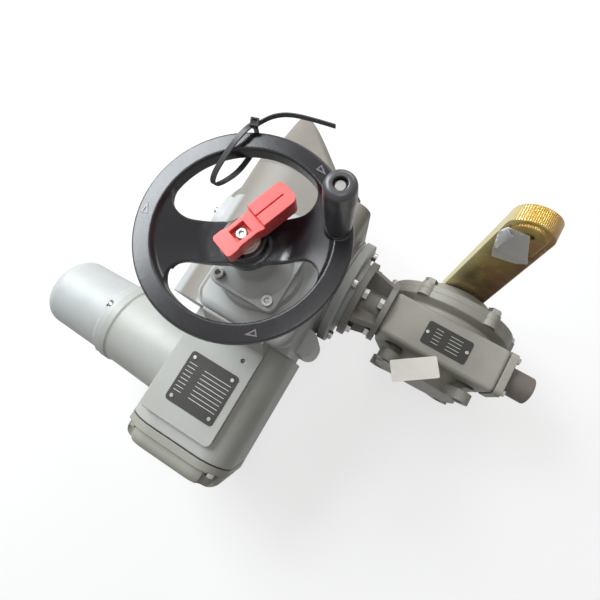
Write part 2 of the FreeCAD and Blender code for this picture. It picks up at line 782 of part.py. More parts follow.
def nameplates():
    inset = size("rivet_inset")
    left = -size("plate_left")
    right = size("plate_right")
    near = -size("plate_near")
    far = -size("plate_far")
    top = "box_high + pad_height"
    sheet_metal = rounded_rectangle(left, right, far, near, 4)
    keep("nameplate", prism(sheet_metal, "plate_sheet", "axis_x", "axis_y", top))
    rivets = []
    for x in (left + inset, right - inset):
        for y in (far + inset, near - inset):
            rivets.append(cylinder("rivet_radius", "plate_sheet", "axis_x + %.2f" % x, "axis_y + %.2f" % y,
                                   top + " + plate_sheet"))
    keep("nameplate_rivets", group(*rivets))
    top = "gear_centre + gear_top"
    half = size("small_half")
    small = rounded_rectangle(-half, half, -size("small_near"), size("small_far"), 3)
    keep("gearbox_plate", prism(small, "plate_sheet", 0, "drive_y", top))
    rivets = [cylinder("rivet_radius", "plate_sheet", "%d * (small_half - 3)" % side, "drive_y - 1",
                       top + " + plate_sheet") for side in (-1, 1)]
    keep("gearbox_plate_rivets", group(*rivets))


def switch_unit():
    margin = "box_wall + unit_margin"
    back = "axis_y - box_near - box_floor"
    width = "box_left + box_right - 2 * (%s)" % margin
    height = "box_high - box_low - 2 * (%s)" % margin
    base = block(width, "unit_plate", height, "axis_x - box_left + " + margin, back + " - unit_plate",
                 "box_low + " + margin)
    middle = "(box_high + box_low) / 2"
    solids = [base, cylinder("cam_post", "unit_plate + 4.5 * cam_pitch", "axis_x", back, middle, "-Y")]
    for step in (1, 2, 3):
        front = back + " - unit_plate - %d * cam_pitch" % step
        solids.append(cylinder("cam_radius", "cam_width", "axis_x", front, middle, "-Y"))
    keep("switch_unit", fuse(*solids))


def plug():
    start = "axis_x - socket_end"
    radius = size("plug_radius")
    length = size("plug_length")
    bore = radius - size("plug_wall")
    edge = radius + 2
    profile = [(0, 0), (edge, 0), (edge, 7), (radius, 9, 2), (size("plug_tip"), length, size("plug_dome")),
               (0, length)]
    shell = turned(profile, start, "plug_y", "plug_z", "-X")
    inner = turned([(0, -1), (bore, -1), (bore, length - 16, 8), (0, length - 8)], start, "plug_y", "plug_z",
                   "-X")
    collars = []
    holes = []
    plugs = []
    for along in (0.3, 0.68):
        x = "axis_x - socket_end - plug_length * %.2f" % along
        collars.append(cylinder("entry_radius + 5", 14, x, "plug_y", "plug_z - plug_radius + 9", "-Z"))
        holes.append(cylinder("entry_radius", 60, x, "plug_y", "plug_z - plug_radius + 14", "-Z"))
        stem = cylinder("entry_radius", 9, x, "plug_y", "plug_z - plug_radius + 4", "-Z")
        head = cylinder("entry_radius + 2.5", 5, x, "plug_y", "plug_z - plug_radius - 5", "-Z")
        plugs.append(fuse(stem, head))
    screws = []
    pockets = []
    for across, up in around(4, radius - 1, size("plug_turn")):
        y = "plug_y + %.4f" % across
        z = "plug_z + %.4f" % up
        screws.append(cylinder("screw_head", "screw_height", start + " - 5", y, z, "-X"))
        pockets.append(cylinder("screw_head + 0.6", "screw_height + 2", start + " - 5", y, z, "-X"))
    keep("plug_cover", cut(fuse(shell, *collars), inner, *holes, *pockets))
    keep("blanking_plugs", group(*plugs))
    keep("plug_screws", group(*screws))
    keep("pin_carrier", cylinder("socket_bore", 14, start, "plug_y", "plug_z", "X"))


def motor():
    near = "axis_y + case_far"
    left = size("case_left")
    right = size("motor_right")
    low = size("motor_low")
    high = size("motor_high")
    corner = size("motor_corner")
    ledge = size("motor_ledge")
    top = size("case_top") - size("gear_centre") - size("worm_centre")
    seat = [(-left, -low - ledge, corner), (right + ledge, -low - ledge, corner),
            (right + ledge, top, corner), (-left, top, size("case_round"))]
    keep("motor_flange", prism(seat, "motor_seat", "axis_x", near + " + motor_seat", worm_line, "-Y"))
    # The hood narrows from the right and sinks at the top, and its rounded shoulder fades out.
    shoulder = size("case_round") - 4
    stations = ((0, 0, 0, 0, 0, corner, shoulder), (0.42, 4, 36, 1, 10, corner - 2, shoulder - 8),
                (0.76, 8, 64, 11, 22, corner - 6, shoulder - 26), (1, 11, 86, 31, 37, 5, 12))
    sections = []
    for share, from_left, from_right, from_low, from_top, round_corner, round_shoulder in stations:
        sketch = doc.addObject("Sketcher::SketchObject", "station")
        west = 3 + from_left - left
        east = right - from_right
        draw(sketch, [(west, from_low - low, round_corner), (east, from_low - low, round_corner),
                      (east, high - from_top, round_corner), (west, high - from_top, round_shoulder)])
        place(sketch, "axis_x", near + " + motor_seat + motor_length * %.2f" % share, worm_line, "-Y")
        sections.append(sketch)
    hood = doc.addObject("Part::Loft", "loft")
    hood.Sections = sections
    hood.Solid = True
    end = size("axis_y") + size("case_far") + size("motor_seat") + size("motor_length")
    keep("motor_housing", soften(hood, 4, lambda edge, middle: middle.y > end - 0.1))
    screws = []
    half = ledge / 2
    for x, z in ((right + half, 26), (right + half, -26), (-60, -low - half), (0, -low - half)):
        screws.append(hexagon("motor_screw", "motor_screw", "axis_x + %.4f" % x, near + " + motor_seat",
                              worm_line + " + %.4f" % z, "Y"))
    keep("motor_screws", group(*screws))


def output_flange():
    start = "axis_x + barrel_front"
    thick = size("flange_thick")
    radius = size("flange_radius")
    spigot = size("spigot_radius")
    end = thick + size("spigot_length")
    profile = [(0, 0), (radius - 3, 0), (radius - 3, 3), (radius, 4), (radius, thick, 1.5),
               (spigot, thick, 1), (spigot, end), (0, end)]
    disc = turned(profile, start, "drive_y", "gear_centre", "X")
    bore = cylinder("sleeve_radius + 2", "flange_thick + spigot_length + 2", start + " - 1", "drive_y",
                    "gear_centre", "X")
    keep("output_flange", cut(disc, bore))
    heads = []
    for across, up in around(4, radius - size("wall"), 0):
        heads.append(cylinder("cap_radius", "cap_radius", start + " + flange_thick",
                              "drive_y + %.4f" % across, "gear_centre + %.4f" % up, "X"))
    keep("output_flange_screws", group(*heads))


def adapter():
    # Open yoke: a round plate, a slim tube and a smaller end, tied by four ribs that slope inward.
    start = "axis_x + barrel_front + flange_thick + spigot_length"
    length = size("yoke_length")
    plate = size("plate_thick")
    end = size("yoke_end")
    foot = length - size("yoke_foot")
    wide = size("plate_radius")
    slim = size("yoke_tube")
    profile = [(0, 0), (wide, 0), (wide, plate, 1), (slim, plate, 4), (slim, foot), (end, foot, 1),
               (end, length), (0, length)]
    core = turned(profile, start, "drive_y", "gear_centre", "X")
    rib_outline = [(4, 0), (wide - 3, 0), (wide - 3, plate + 2, 3), (end - 1, length), (4, length)]
    outward = Rotation(Vector(0, 1, 0), Vector(1, 0, 0), Vector(0, 0, 1), "XYZ")
    ribs = []
    for turn in (45, 135, 225, 315):
        rib = prism(rib_outline, "yoke_rib", 0, 0, 0)
        spun = Rotation(Vector(1, 0, 0), turn).multiply(outward)
        shift = spun.multVec(Vector(0, 0, -size("yoke_rib") / 2))
        rib.Placement = Placement(Vector(), spun)
        bind(rib, "Placement.Base.x", start)
        bind(rib, "Placement.Base.y", "drive_y + %.5f" % shift.y)
        bind(rib, "Placement.Base.z", "gear_centre + %.5f" % shift.z)
        ribs.append(rib)
    bore = cylinder("gear_neck + 2", "yoke_length + 2", start + " - 1", "drive_y", "gear_centre", "X")
    keep("adapter_yoke", cut(fuse(core, *ribs), bore))
    bolts = []
    nuts = []
    for across, up in around(4, size("bolt_circle"), 0):
        bolts.append(hexagon("bolt_head", "bolt_depth", start + " + plate_thick", "drive_y + %.4f" % across,
                             "gear_centre + %.4f" % up))
    for across, up in around(4, size("nut_circle"), 0):
        nuts.append(hexagon("bolt_head", "bolt_depth", start + " + yoke_length - yoke_foot - bolt_depth",
                            "drive_y + %.4f" % across, "gear_centre + %.4f" % up))
    keep("adapter_bolts", group(*bolts))
    keep("adapter_nuts", group(*nuts))


def gearbox():
    section = rounded_rectangle(-size("gear_left"), size("gear_right"), size("gear_near"),
                                size("gear_far"), 6)
    top = size("gear_centre") + size("gear_top")
    case = soften(prism(section, "gear_top * 2", 0, 0, "gear_centre - gear_top"), 5,
                  lambda edge, middle: middle.z > top - 0.1)
    drum = size("drum_radius")
    foot = size("foot_radius")
    thick = size("foot_thick")
    seat = size("cover_seat")
    cover = size("cover_radius")
    lug = size("foot_lug")
    reach = size("foot_circle")
    end = size("cover_thick")
    profile = [(0, 0), (foot, 0), (foot, thick), (drum - 12, thick + 5, 4), (drum, size("gear_near") + 6, 8),
               (drum, seat - 14, 3), (cover, seat - end, 2), (cover, seat), (0, seat)]
    shell = turned(profile, 0, 0, 0, "Y")
    lugs = []
    holes = []
    for x, z in around(4, reach, 45):
        lugs.append(cylinder("foot_lug", "foot_thick", x, 0, z, "Y"))
        holes.append(cylinder("foot_hole", "foot_thick + 2", x, -1, z, "Y"))
        holes.append(cylinder("foot_spot", "foot_thick * 1.5", x, "foot_thick", z, "Y"))
    for turn in (45, -45):
        lugs.append(prism([(-reach, -lug), (reach, -lug), (reach, lug), (-reach, lug)], "foot_thick", 0, 0, 0,
                          "Y", turn))
    ears = []
    bolts = []
    for x, z in around(6, size("cover_circle"), size("cover_turn")):
        lugs.append(cylinder("cover_lug", "cover_thick", x, "cover_seat - cover_thick", z, "Y"))
        ears.append(cylinder("cover_lug", "cover_thick", x, "cover_seat", z, "Y"))
        bolts.append(hexagon("cover_bolt", "bolt_depth", x, "cover_seat + cover_thick", z, "Y"))
    chamber = cylinder("gear_wheel + 3", "cover_seat - gear_near", 0, "gear_near + 1", 0, "Y")
    tunnel = cylinder("gear_bore", "gear_left + gear_right + 2", "-gear_left - 1", "drive_y", "gear_centre",
                      "X")
    stem = cylinder("gear_shaft + running_gap", "gear_near * 2", 0, "foot_floor", 0, "Y")
    keep("gearbox_housing", cut(fuse(case, shell, *lugs), chamber, tunnel, stem, *holes))
    boss = size("cover_boss")
    rise = size("cover_rise")
    lid = turned([(0, 0), (cover, 0), (cover, end, 1.5), (cover - 16, end, 1), (cover - 19, end + 3, 1),
                  (boss + 6, end + 6, 4), (boss, end + rise, 2), (0, end + rise)], 0, "cover_seat", 0, "Y")
    bore = cylinder("gear_shaft + running_gap", "cover_thick + cover_rise + 2", 0, "cover_seat - 1", 0, "Y")
    keep("gearbox_cover", cut(fuse(lid, *ears), bore))
    keep("gearbox_cover_bolts", group(*bolts))


def gearbox_drive():
    outline = gear_outline(int(size("gear_teeth")), size("gear_wheel"), size("tooth_depth"))
    rim = prism(outline, "gear_width", 0, "drive_y - gear_width / 2", 0, "Y")
    hub = cylinder("gear_shaft", "gear_width + 2", 0, "drive_y - gear_width / 2 - 1", 0, "Y")
    keep("gearbox_wheel", cut(rim, hub))
    floor = "foot_floor + seat_gap"
    keep("lever_shaft", cylinder("gear_shaft", cover_top + " + lever_thick - foot_floor", 0, floor, 0, "Y"))
    neck = size("gear_neck")
    root = size("gear_root")
    low = size("axis_x") + size("barrel_front") - size("neck_seat")
    high = size("gear_right") + size("end_plate") - 2
    half = size("thread_half")
    profile = [(0, low), (neck, low), (neck, -half - 10), (root, -half - 6)]
    profile += thread_outline(root, size("gear_worm"), -half, half, 2 * math.pi)
    profile += [(root, high), (0, high)]
    keep("gearbox_worm", turned(profile, 0, "drive_y", "gear_centre", "X"))
    tube("gearbox_bearing_left", "gear_bore", "gear_neck + running_gap", "bearing_width", "-gear_left + 2",
         "drive_y", "gear_centre")
    tube("gearbox_bearing_right", "gear_bore", "gear_root + running_gap", "bearing_width",
         "gear_right - bearing_width - 2", "drive_y", "gear_centre")
    half = size("end_half")
    plate = prism(rounded_rectangle(-half, half, -half, half, 6), "end_plate", "gear_right", "drive_y",
                  "gear_centre", "X")
    way = cylinder("gear_root + seat_gap", "end_plate + 2", "gear_right - 1", "drive_y", "gear_centre", "X")
    keep("end_plate", cut(plate, way))
    stop = size("stop_radius")
    length = size("stop_length")
    cup = turned([(0, 0), (stop + 3, 0), (stop + 3, 3, 1), (stop, 5, 1), (stop, length, 1.5), (0, length)],
                 "gear_right + end_plate", "drive_y", "gear_centre", "X")
    way = cylinder("gear_root + seat_gap", "stop_length / 2", "gear_right + end_plate - 1", "drive_y",
                   "gear_centre", "X")
    keep("end_stop", cut(cup, way))
    screws = []
    for across in (-1, 1):
        for up in (-1, 1):
            y = "drive_y + %d * end_screw" % across
            z = "gear_centre + %d * end_screw" % up
            screws.append(cylinder("screw_head", "screw_height", "gear_right + end_plate", y, z, "X"))
    keep("end_plate_screws", group(*screws))


def swing_lever():
    root = size("lever_root")
    tip = size("lever_tip")
    length = size("lever_length")
    seat = cover_top + " + seat_gap"
    slope = math.asin((root - tip) / length)
    side = math.cos(slope)
    rise = math.sin(slope)
    body = doc.addObject("PartDesign::Body", "lever")
    sketch = new_sketch(body, "XY_Plane", "outline")
    low_right = Vector(root * side, root * rise, 0)
    high_right = Vector(tip * side, length + tip * rise, 0)
    high_left, low_left = [Vector(-point.x, point.y, 0) for point in (high_right, low_right)]
    sketch.addGeometry(Part.LineSegment(low_right, high_right), False)
    sketch.addGeometry(Part.Arc(high_right, Vector(0, length + tip, 0), high_left), False)
    sketch.addGeometry(Part.LineSegment(high_left, low_left), False)
    sketch.addGeometry(Part.Arc(low_left, Vector(0, -root, 0), low_right), False)
    pad = body.newObject("PartDesign::Pad", "pad")
    pad.Profile = sketch
    bind(pad, "Length", "lever_thick")
    place(body, 0, seat + " + lever_thick", 0, "-Y", size("lever_lean"))
    wide = size("lever_boss")
    low = length - size("boss_length") - wide
    boss = prism(rounded_rectangle(-wide, wide, low, length + wide, wide), "boss_thick + 1", 0,
                 seat + " + 1", 0, "-Y", size("lever_lean"))
    lean = math.radians(size("lever_lean"))
    eye = cylinder("lever_hole", "lever_thick + 10", "lever_length * %.5f" % -math.sin(lean), seat + " - 5",
                   "lever_length * %.5f" % math.cos(lean), "Y")
    hub = cylinder("gear_shaft", "lever_thick + 10", 0, seat + " - 5", 0, "Y")
    keep("swing_lever", cut(fuse(body, boss), eye, hub))
    top = seat + " + lever_thick"
    washer = cylinder("gear_shaft + 3", 3, 0, top, 0, "Y")
    head = hexagon("gear_shaft / 2", 8, 0, top + " + 3", 0, "Y")
    keep("lever_bolt", fuse(washer, head))


gear_housing()
drive_train()
bevel_pair()
rear_cap()
manual_drive()
handwheel()
crank_handle()
cable_tie()
changeover_lever()
control_housing()
control_lid()
nameplates()
switch_unit()
plug()
motor()
output_flange()
adapter()
gearbox()
gearbox_drive()
swing_lever()
doc.recompute()

for thing in doc.Objects:
    if "Invalid" in thing.State or "Error" in thing.State:
        raise RuntimeError("%s failed: %s" % (thing.Name, thing.State))
for node, solid in nodes.items():
    if solid.Shape.isNull() or not solid.Shape.isValid() or not solid.Shape.Solids:
        raise RuntimeError("%s has no valid solid" % node)

os.makedirs("parts", exist_ok=True)
for node, solid in nodes.items():
    solid.Shape.exportStep("parts/%s.step" % node)
print("%d nodes written" % len(nodes))
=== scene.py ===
import json
import math
import bpy
from mathutils import Matrix, Vector


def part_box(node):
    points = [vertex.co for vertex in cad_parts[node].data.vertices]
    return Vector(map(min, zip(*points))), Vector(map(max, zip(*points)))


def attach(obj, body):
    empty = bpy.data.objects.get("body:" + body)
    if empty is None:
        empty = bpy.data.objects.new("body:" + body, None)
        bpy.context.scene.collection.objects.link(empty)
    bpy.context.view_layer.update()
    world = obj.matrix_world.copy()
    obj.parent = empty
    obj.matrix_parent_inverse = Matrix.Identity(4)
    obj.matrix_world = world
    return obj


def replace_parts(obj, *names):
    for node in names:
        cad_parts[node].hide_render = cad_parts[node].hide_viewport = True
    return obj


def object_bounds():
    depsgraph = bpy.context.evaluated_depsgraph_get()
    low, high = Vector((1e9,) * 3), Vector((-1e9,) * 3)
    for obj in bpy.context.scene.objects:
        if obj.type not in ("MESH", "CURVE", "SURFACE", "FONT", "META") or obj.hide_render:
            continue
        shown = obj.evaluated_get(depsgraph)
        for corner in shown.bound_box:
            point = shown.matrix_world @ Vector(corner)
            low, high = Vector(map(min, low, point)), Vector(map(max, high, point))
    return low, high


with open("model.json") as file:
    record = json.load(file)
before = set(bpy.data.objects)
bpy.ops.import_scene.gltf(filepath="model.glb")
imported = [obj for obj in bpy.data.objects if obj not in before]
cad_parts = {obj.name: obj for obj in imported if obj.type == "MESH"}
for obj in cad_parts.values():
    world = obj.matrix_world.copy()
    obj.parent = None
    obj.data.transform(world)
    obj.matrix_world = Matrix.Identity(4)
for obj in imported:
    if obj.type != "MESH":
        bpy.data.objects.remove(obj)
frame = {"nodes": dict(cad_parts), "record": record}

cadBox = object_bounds()
softAngle = math.radians(28)  # edges that turn less than this are shaded smooth
joinGap = 0.00001
bpy.ops.object.select_all(action="DESELECT")
print("frame loaded:", len(frame["nodes"]), "parts")


def addNode(tree, kind, inputs=None, **settings):
    node = tree.nodes.new(kind)
    for name, value in settings.items():
        setattr(node, name, value)
    for name, value in (inputs or {}).items():
        if isinstance(value, bpy.types.NodeSocket):
            tree.links.new(value, node.inputs[name])
        else:
            node.inputs[name].default_value = value
    return node


def noiseAt(tree, place, noise):
    scale, detail, roughness = noise
    node = addNode(tree, "ShaderNodeTexNoise", {"Vector": place, "Scale": scale, "Detail": detail,
                                                "Roughness": roughness})
    return node.outputs[0]


def spread(tree, value, low, high, start=0, end=1):
    node = addNode(tree, "ShaderNodeMapRange", {"Value": value, "From Min": low, "From Max": high,
                                                "To Min": start, "To Max": end})
    return node.outputs["Result"]


def blendOf(tree, share, first, second):
    inputs = {0: share, 6: first, 7: second}
    return addNode(tree, "ShaderNodeMix", inputs, data_type="RGBA").outputs[2]


def times(tree, first, second):
    inputs = {0: first, 1: second}
    return addNode(tree, "ShaderNodeMath", inputs, operation="MULTIPLY").outputs[0]


def largerOf(tree, first, second):
    inputs = {0: first, 1: second}
    return addNode(tree, "ShaderNodeMath", inputs, operation="MAXIMUM").outputs[0]


def partsOf(tree, vector):
    return addNode(tree, "ShaderNodeSeparateXYZ", {0: vector}).outputs


def bumpOf(tree, height, strength, distance, under):
    inputs = {"Strength": strength, "Distance": distance, "Height": height, "Normal": under}
    return addNode(tree, "ShaderNodeBump", inputs).outputs[0]


def newMaterial(name):
    material = bpy.data.materials.new(name)
    material.use_nodes = True
    return material, material.node_tree, material.node_tree.nodes["Principled BSDF"]


def colour(red, green, blue):
    # screen values from 0 to 255
    def line(level):
        level = level / 255
        return level / 12.92 if level <= 0.04045 else ((level + 0.055) / 1.055) ** 2.4
    return (line(red), line(green), line(blue), 1)


# each noise is its scale, detail and roughness, and each range says where it starts and ends
surface = {"clouds": (14, 4, 0.6), "cloudRange": (0.32, 0.68), "roughRange": (0.3, 0.7),
           "roughSpread": 0.05, "marks": (60, 6, 0.75), "markRange": (0.56, 0.74),
           "edge": 0.0007, "edgeSamples": 6, "wearWidth": 0.0012, "wearSamples": 4,
           "wearRange": (0.985, 0.86), "patches": (190, 4, 0.7), "patchRange": (0.42, 0.62),
           "grain": (1500, 2, 0.5), "grainDeep": 0.0002, "swell": (260, 3, 0.5),
           "swellDeep": 0.0006, "coatRough": 0.15}
# painted shade: faces that lean to -X, and all that lies beyond the split, take a darker taupe,
# the shade under the handwheel and beside the motor hood
hoodShade = {"lean": (-0.2, -0.28), "upright": (0.74, 0.82), "beyond": (0.065, 0.0653),
        "above": (0.1, 0.1003), "share": 0.95}


# share of painted shade on the case: faces leaning to -X, and the part beyond the split
def hoodShadeShare(tree, place):
    facing = partsOf(tree, addNode(tree, "ShaderNodeTexCoord").outputs["Normal"])
    where = partsOf(tree, place)
    leaning = times(tree, spread(tree, facing["X"], *hoodShade["lean"]),
                    spread(tree, facing["Z"], *hoodShade["upright"]))
    beyond = times(tree, spread(tree, where["Y"], *hoodShade["beyond"]),
                   spread(tree, where["Z"], *hoodShade["above"]))
    return times(tree, largerOf(tree, leaning, beyond), hoodShade["share"])


def wearShare(tree, place):
    # bare where a wide rounding turns away from the true surface, in patches
    true = addNode(tree, "ShaderNodeNewGeometry").outputs["Normal"]
    wide = addNode(tree, "ShaderNodeBevel", {"Radius": surface["wearWidth"]},
                   samples=surface["wearSamples"])
    turned = addNode(tree, "ShaderNodeVectorMath", {0: wide.outputs[0], 1: true},
                     operation="DOT_PRODUCT")
    edges = spread(tree, turned.outputs["Value"], *surface["wearRange"])
    patches = noiseAt(tree, place, surface["patches"])
    return times(tree, edges, spread(tree, patches, *surface["patchRange"]))


def newFinish(name, look):
    # painted, moulded or metal surface: two tones, fine grain, marks and worn edges
    material, tree, shader = newMaterial(name)
    place = addNode(tree, "ShaderNodeTexCoord").outputs["Object"]
    clouds = noiseAt(tree, place, surface["clouds"])
    cloudy = spread(tree, clouds, *surface["cloudRange"])
    tone = blendOf(tree, cloudy, look["base"], look["second"])
    marks = spread(tree, noiseAt(tree, place, surface["marks"]), *surface["markRange"])
    marked = times(tree, marks, look["marks"])
    tone = blendOf(tree, marked, tone, look.get("markColour", look["second"]))
    # painted shade on the case, in the motor hood's taupe
    if look.get("hoodShadeColour"):
        tone = blendOf(tree, hoodShadeShare(tree, place), tone, look["hoodShadeColour"])
    if look.get("wear"):
        worn = times(tree, wearShare(tree, place), look["wear"])
        tone = blendOf(tree, worn, tone, look["wearColour"])
    tree.links.new(tone, shader.inputs["Base Color"])
    rough = spread(tree, clouds, *surface["roughRange"], look["rough"] - surface["roughSpread"],
                   look["rough"] + surface["roughSpread"])
    tree.links.new(rough, shader.inputs["Roughness"])
    shader.inputs["Metallic"].default_value = look.get("metal", 0)
    shader.inputs["Specular IOR Level"].default_value = look.get("specular", 0.5)
    shader.inputs["Coat Weight"].default_value = look.get("coat", 0)
    shader.inputs["Coat Roughness"].default_value = surface["coatRough"]
    rounded = addNode(tree, "ShaderNodeBevel", {"Radius": look.get("edge", surface["edge"])},
                      samples=surface["edgeSamples"])
    wavy = bumpOf(tree, noiseAt(tree, place, surface["swell"]), look.get("swell", 0.1),
                  surface["swellDeep"], rounded.outputs[0])
    grainy = bumpOf(tree, noiseAt(tree, place, surface["grain"]), look["grain"],
                    surface["grainDeep"], wavy)
    tree.links.new(grainy, shader.inputs["Normal"])
    return material


castPaint = {"base": colour(168, 171, 171), "second": colour(158, 160, 158),
             "markColour": colour(140, 138, 132), "marks": 0.25, "rough": 0.48, "grain": 0.22,
             "swell": 0.12, "edge": 0.0016, "wear": 0.35, "wearColour": colour(196, 196, 192)}
finishes = {
    "housing_paint": castPaint,
    # the case: the housing's paint, with painted shade under the handwheel
    "case_paint_and_shade": {**castPaint, "hoodShadeColour": colour(112, 106, 98)},
    "box_paint": {"base": colour(162, 163, 159), "second": colour(152, 152, 146),
                  "markColour": colour(132, 128, 120), "marks": 0.28, "rough": 0.48,
                  "grain": 0.22, "swell": 0.12, "edge": 0.0016, "wear": 0.35,
                  "wearColour": colour(192, 192, 186)},
    # lid: a darker olive grey that is painted shade
    "lid_shade_paint": {"base": colour(144, 143, 134), "second": colour(132, 131, 121),
                  "markColour": colour(110, 106, 97), "marks": 0.3, "rough": 0.5,
                  "grain": 0.24, "swell": 0.15, "edge": 0.0016, "wear": 0.4,
                  "wearColour": colour(184, 183, 175)},
    # motor hood and flange: a warmer paint, darkened with painted shade
    "motor_paint_and_shade": {"base": colour(118, 112, 104), "second": colour(106, 100, 92),
                    "markColour": colour(90, 84, 76), "marks": 0.3, "rough": 0.5,
                    "grain": 0.25, "swell": 0.15, "edge": 0.0016},
    # yoke: a darker grey that is painted shade
    "yoke_shade_paint": {"base": colour(122, 119, 113), "second": colour(106, 103, 98),
                   "markColour": colour(84, 80, 75), "marks": 0.3, "rough": 0.52,
                   "grain": 0.25, "swell": 0.15, "edge": 0.0014, "wear": 0.25,
                   "wearColour": colour(158, 155, 148)},
    "gearbox_paint": {"base": colour(146, 143, 134), "second": colour(134, 131, 122),
                      "markColour": colour(112, 107, 98), "marks": 0.3, "rough": 0.52,
                      "grain": 0.25, "swell": 0.2, "edge": 0.0014, "wear": 0.3,
                      "wearColour": colour(176, 172, 162)},
    "black_enamel": {"base": colour(26, 24, 28), "second": colour(17, 16, 20),
                     "markColour": colour(62, 56, 66), "marks": 0.16, "rough": 0.22,
                     "grain": 0.05, "swell": 0.05, "specular": 0.36, "edge": 0.0018,
                     "wear": 0.25, "wearColour": colour(104, 102, 106)},
    "arrow_enamel": {"base": colour(104, 100, 106), "second": colour(84, 80, 86), "marks": 0.3,
                     "rough": 0.32, "grain": 0.1, "edge": 0.0001},
    "red_plastic": {"base": colour(236, 92, 88), "second": colour(226, 78, 76),
                    "markColour": colour(246, 140, 132), "marks": 0.15, "rough": 0.42,
                    "grain": 0.1, "swell": 0.06, "edge": 0.0012},
    "black_plastic": {"base": colour(38, 38, 40), "second": colour(30, 30, 32),
                      "markColour": colour(64, 64, 66), "marks": 0.2, "rough": 0.5,
                      "grain": 0.2, "edge": 0.0008},
    "grip_plastic": {"base": colour(44, 43, 47), "second": colour(36, 35, 39),
                     "markColour": colour(84, 82, 84), "marks": 0.2, "rough": 0.42,
                     "grain": 0.25, "edge": 0.001, "coat": 0.2},
    "tie_plastic": {"base": colour(28, 29, 31), "second": colour(22, 23, 25), "marks": 0.1,
                    "rough": 0.38, "grain": 0.1, "edge": 0.0004},
    "zinc_steel": {"base": colour(160, 159, 156), "second": colour(138, 137, 134),
                   "markColour": colour(120, 116, 108), "marks": 0.35, "rough": 0.34,
                   "metal": 1, "grain": 0.15, "edge": 0.0006},
    "shaft_steel": {"base": colour(158, 152, 144), "second": colour(132, 127, 120),
                    "markColour": colour(96, 84, 66), "marks": 0.3, "rough": 0.3,
                    "metal": 1, "grain": 0.1, "edge": 0.0005},
    "bearing_steel": {"base": colour(190, 190, 192), "second": colour(172, 172, 174),
                      "marks": 0.1, "rough": 0.22, "metal": 1, "grain": 0.04},
    "bronze": {"base": colour(188, 142, 84), "second": colour(164, 118, 66),
               "markColour": colour(104, 72, 40), "marks": 0.3, "rough": 0.36,
               "metal": 1, "grain": 0.1},
    "seal_rubber": {"base": colour(26, 26, 26), "second": colour(34, 34, 34), "marks": 0.2,
                    "rough": 0.7, "grain": 0.2},
    "stop_cast": {"base": colour(98, 90, 84), "second": colour(84, 77, 72),
                  "markColour": colour(64, 58, 54), "marks": 0.4, "rough": 0.62,
                  "grain": 0.4, "swell": 0.3, "edge": 0.001},
    "plate_dark": {"base": colour(54, 53, 50), "second": colour(44, 43, 41),
                   "markColour": colour(84, 83, 79), "marks": 0.2, "rough": 0.5,
                   "specular": 0.3, "grain": 0.1, "edge": 0.0004},
    "plate_mark": {"base": colour(206, 206, 200), "second": colour(188, 188, 182),
                   "marks": 0.3, "rough": 0.5, "grain": 0.1, "edge": 0.00005},
    "blank_foil": {"base": colour(240, 239, 236), "second": colour(226, 225, 222),
                   "markColour": colour(168, 168, 168), "marks": 0.3, "rough": 0.45,
                   "grain": 0.1, "swell": 0.2, "edge": 0.0001},
    "foil_back": {"base": colour(246, 247, 248), "second": colour(222, 225, 228),
                  "markColour": colour(176, 178, 182), "marks": 0.4, "rough": 0.25,
                  "metal": 0.3, "grain": 0.1, "swell": 0.5, "edge": 0.0001},
    "blank_paper": {"base": colour(232, 229, 222), "second": colour(222, 218, 208),
                    "markColour": colour(198, 192, 182), "marks": 0.25, "rough": 0.62,
                    "grain": 0.12, "swell": 0.1, "edge": 0.0002},
}

# the side and edge ranges paint shade and a highlight across the lever; pale also serves the
# random flecks
zinc = {"gold": colour(196, 168, 84), "olive": colour(118, 110, 62), "rose": colour(166, 116, 80),
        "shadeBrown": colour(134, 92, 64), "paleFleckAndHighlight": colour(236, 228, 170), "line": colour(150, 104, 56),
        "drift": (16, 3, 0.55), "driftRange": (0.36, 0.6), "apart": (0.31, 0.17, 0.53),
        "rosy": (25.6, 3, 0.6), "rosyRange": (0.5, 0.66, 0, 0.7), "side": (-0.004, 0.014, 0, 0.8),
        "edge": (-0.014, -0.026, 0, 0.75), "fine": (70, 5, 0.7), "fineRange": (0.5, 0.75, 0, 0.35),
        "hatch": {"Scale": 205, "Distortion": 2, "Detail": 2, "Detail Scale": 3},
        "tip": (0.219, 0.222), "topRange": (0.4, 0.7), "hatchShare": 0.75, "hatchBump": 0.8,
        "hatchDeep": 0.0004, "metal": 0.8, "roughRange": (0.3, 0.7, 0.26, 0.42), "round": 0.0022,
        "dents": (420, 4, 0.6), "dentBump": 0.25, "dentDeep": 0.0003}


